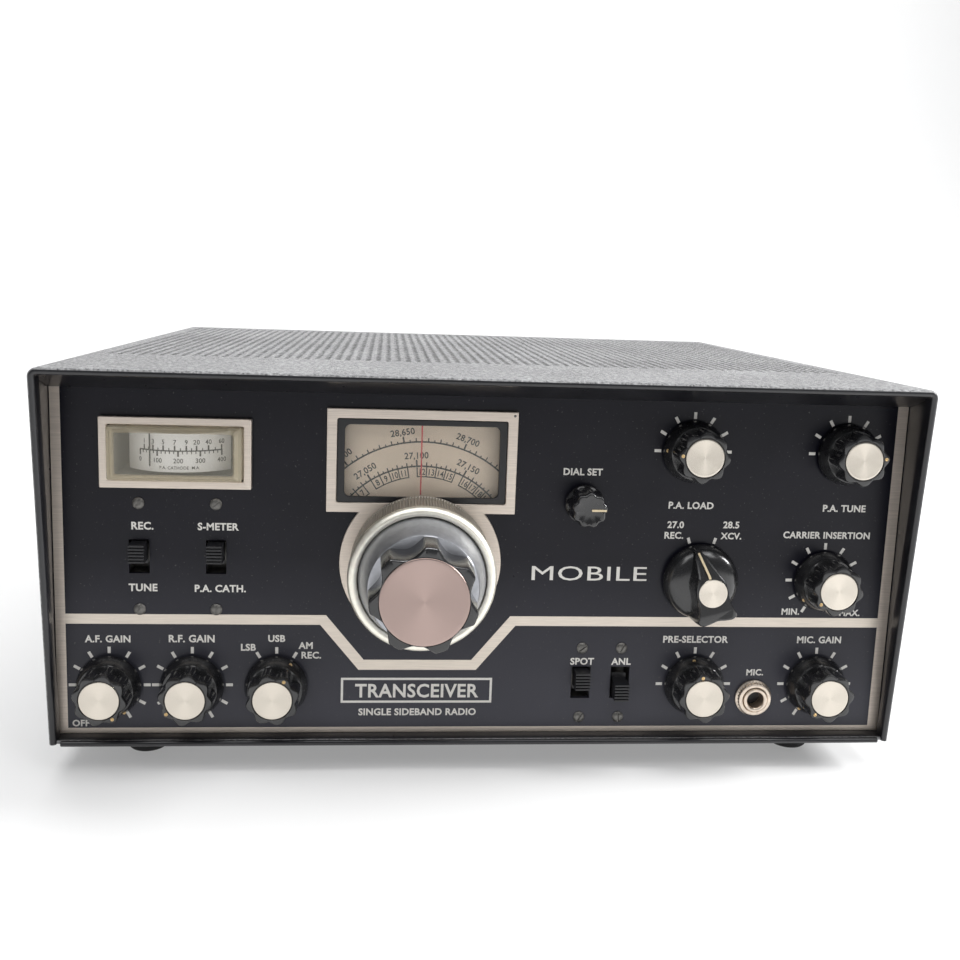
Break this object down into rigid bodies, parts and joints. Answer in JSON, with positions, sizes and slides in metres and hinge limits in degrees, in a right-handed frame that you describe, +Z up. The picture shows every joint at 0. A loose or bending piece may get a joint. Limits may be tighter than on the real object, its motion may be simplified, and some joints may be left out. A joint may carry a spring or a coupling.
{
  "type": "amateur radio transceiver",
  "caption": "Mobile amateur radio transceiver in a black cabinet with a raked lip, dial window, edgewise meter, large tuning knob, fluted knobs and slide switches.",
  "frame": {"origin": "centre of the footprint of the bounding box, on the surface that the rubber feet stand on", "axes": "+X to the right as seen from the front, +Y from the front panel towards the rear panel, +Z up"},
  "size_m": [0.3302, 0.3256, 0.1565],
  "materials": {
    "cover_paint": "textured",
    "panel_paint": "satin",
    "champagne_aluminium": "satin",
    "polished_aluminium": "polished",
    "plated_steel": "satin",
    "sheet_aluminium": "satin",
    "knob_black": "gloss",
    "foot_rubber": "matte",
    "clear_plastic": "clear",
    "dial_cream": "matte",
    "scale_white": "matte",
    "needle_black": "matte",
    "bakelite_black": "satin",
    "brass": "satin",
    "core_steel": "satin",
    "tube_glass": "clear",
    "board_green": "satin",
    "paper_cone": "matte"
  },
  "bodies": {
    "transceiver": {"cabinet_cover": "cover_paint", "bottom_pan": "cover_paint", "front_panel": "panel_paint", "rear_panel": "panel_paint", "dial_escutcheon": "champagne_aluminium", "meter_bezel": "champagne_aluminium", "af_gain_control": "plated_steel", "rf_gain_control": "plated_steel", "mode_switch": "plated_steel", "carrier_control": "plated_steel", "band_switch": "plated_steel", "mic_gain_control": "plated_steel", "dial_set_control": "plated_steel", "receive_tune_switch": "plated_steel", "meter_select_switch": "plated_steel", "spot_switch": "plated_steel", "noise_limiter_switch": "plated_steel", "mic_jack": "plated_steel", "mic_jack_nut": "plated_steel", "coax_socket": "plated_steel", "chassis": "sheet_aluminium", "oscillator_box": "sheet_aluminium", "load_capacitor": "sheet_aluminium", "tune_capacitor": "sheet_aluminium", "preselector_capacitor": "sheet_aluminium", "foot_front_left": "foot_rubber", "foot_front_right": "foot_rubber", "foot_rear_left": "foot_rubber", "foot_rear_right": "foot_rubber", "dial_window": "clear_plastic", "meter_cover": "clear_plastic", "meter_scale": "scale_white", "dial_inner_frame": "bakelite_black", "meter_case": "bakelite_black", "power_cord_gland": "bakelite_black", "fuse_holder": "bakelite_black", "ground_stud": "brass", "power_transformer": "core_steel", "pa_tube_left": "tube_glass", "pa_tube_right": "tube_glass", "circuit_board": "board_green", "loudspeaker": "paper_cone"},
    "fast_tuning": {"fast_tuning_ring": "polished_aluminium", "dial_disc": "dial_cream"},
    "fine_tuning": {"fine_tuning_knob": "knob_black"},
    "meter_movement": {"meter_needle": "needle_black"},
    "af_gain_shaft": {"af_gain_knob": "knob_black"},
    "rf_gain_shaft": {"rf_gain_knob": "knob_black"},
    "mode_shaft": {"mode_knob": "knob_black"},
    "pa_load_shaft": {"pa_load_knob": "knob_black"},
    "pa_tune_shaft": {"pa_tune_knob": "knob_black"},
    "carrier_shaft": {"carrier_knob": "knob_black"},
    "band_shaft": {"band_knob": "knob_black"},
    "preselector_shaft": {"preselector_knob": "knob_black"},
    "mic_gain_shaft": {"mic_gain_knob": "knob_black"},
    "dial_set_shaft": {"dial_set_knob": "knob_black"},
    "receive_tune_actuator": {"receive_tune_slider": "knob_black"},
    "meter_select_actuator": {"meter_select_slider": "knob_black"},
    "spot_actuator": {"spot_slider": "knob_black"},
    "noise_limiter_actuator": {"noise_limiter_slider": "knob_black"}
  },
  "joints": [
    {"name": "fast_tuning_turn", "type": "hinge", "parent": "transceiver", "child": "fast_tuning", "pos_m": [-0.0263, -0.11435, 0.0832], "axis": [0, 1, 0], "range_deg": [-90, 90]},
    {"name": "fine_tuning_turn", "type": "hinge", "parent": "transceiver", "child": "fine_tuning", "pos_m": [-0.0263, -0.11435, 0.0832], "axis": [0, 1, 0], "range_deg": [-540, 540]},
    {"name": "meter_swing", "type": "hinge", "parent": "transceiver", "child": "meter_movement", "pos_m": [-0.118, -0.09135, 0.12435], "axis": [0, 0, 1], "range_deg": [-9, 52], "stiffness_Nm_per_rad": 0.0001},
    {"name": "af_gain_turn", "type": "hinge", "parent": "transceiver", "child": "af_gain_shaft", "pos_m": [-0.1439, -0.11435, 0.0333], "axis": [0, 1, 0], "range_deg": [-296, 4]},
    {"name": "rf_gain_turn", "type": "hinge", "parent": "transceiver", "child": "rf_gain_shaft", "pos_m": [-0.1128, -0.11435, 0.0333], "axis": [0, 1, 0], "range_deg": [-23, 277]},
    {"name": "mode_turn", "type": "hinge", "parent": "transceiver", "child": "mode_shaft", "pos_m": [-0.0808, -0.11435, 0.0333], "axis": [0, 1, 0], "range_deg": [-60, 0]},
    {"name": "pa_load_turn", "type": "hinge", "parent": "transceiver", "child": "pa_load_shaft", "pos_m": [0.0783, -0.11435, 0.1286], "axis": [0, 1, 0], "range_deg": [-4, 176]},
    {"name": "pa_tune_turn", "type": "hinge", "parent": "transceiver", "child": "pa_tune_shaft", "pos_m": [0.14, -0.11435, 0.1286], "axis": [0, 1, 0], "range_deg": [-174, 6]},
    {"name": "carrier_turn", "type": "hinge", "parent": "transceiver", "child": "carrier_shaft", "pos_m": [0.1348, -0.11435, 0.0773], "axis": [0, 1, 0], "range_deg": [-23, 277]},
    {"name": "band_turn", "type": "hinge", "parent": "transceiver", "child": "band_shaft", "pos_m": [0.0842, -0.11435, 0.077], "axis": [0, 1, 0], "range_deg": [0, 30]},
    {"name": "preselector_turn", "type": "hinge", "parent": "transceiver", "child": "preselector_shaft", "pos_m": [0.0847, -0.11435, 0.0338], "axis": [0, 1, 0], "range_deg": [-82, 98]},
    {"name": "mic_gain_turn", "type": "hinge", "parent": "transceiver", "child": "mic_gain_shaft", "pos_m": [0.135, -0.11435, 0.0338], "axis": [0, 1, 0], "range_deg": [-10, 290]},
    {"name": "dial_set_turn", "type": "hinge", "parent": "transceiver", "child": "dial_set_shaft", "pos_m": [0.0364, -0.11435, 0.1074], "axis": [0, 1, 0], "range_deg": [-240, 60]},
    {"name": "receive_tune_slide", "type": "slide", "parent": "transceiver", "child": "receive_tune_actuator", "axis": [0, 0, 1], "range_m": [-0.0046, 0]},
    {"name": "meter_select_slide", "type": "slide", "parent": "transceiver", "child": "meter_select_actuator", "axis": [0, 0, 1], "range_m": [-0.0046, 0]},
    {"name": "spot_slide", "type": "slide", "parent": "transceiver", "child": "spot_actuator", "axis": [0, 0, 1], "range_m": [-0.0046, 0]},
    {"name": "noise_limiter_slide", "type": "slide", "parent": "transceiver", "child": "noise_limiter_actuator", "axis": [0, 0, 1], "range_m": [0, 0.0046]}
  ],
  "couplings": [
    {"joint": "fine_tuning_turn", "follows": "fast_tuning_turn", "ratio": 6}
  ]
}
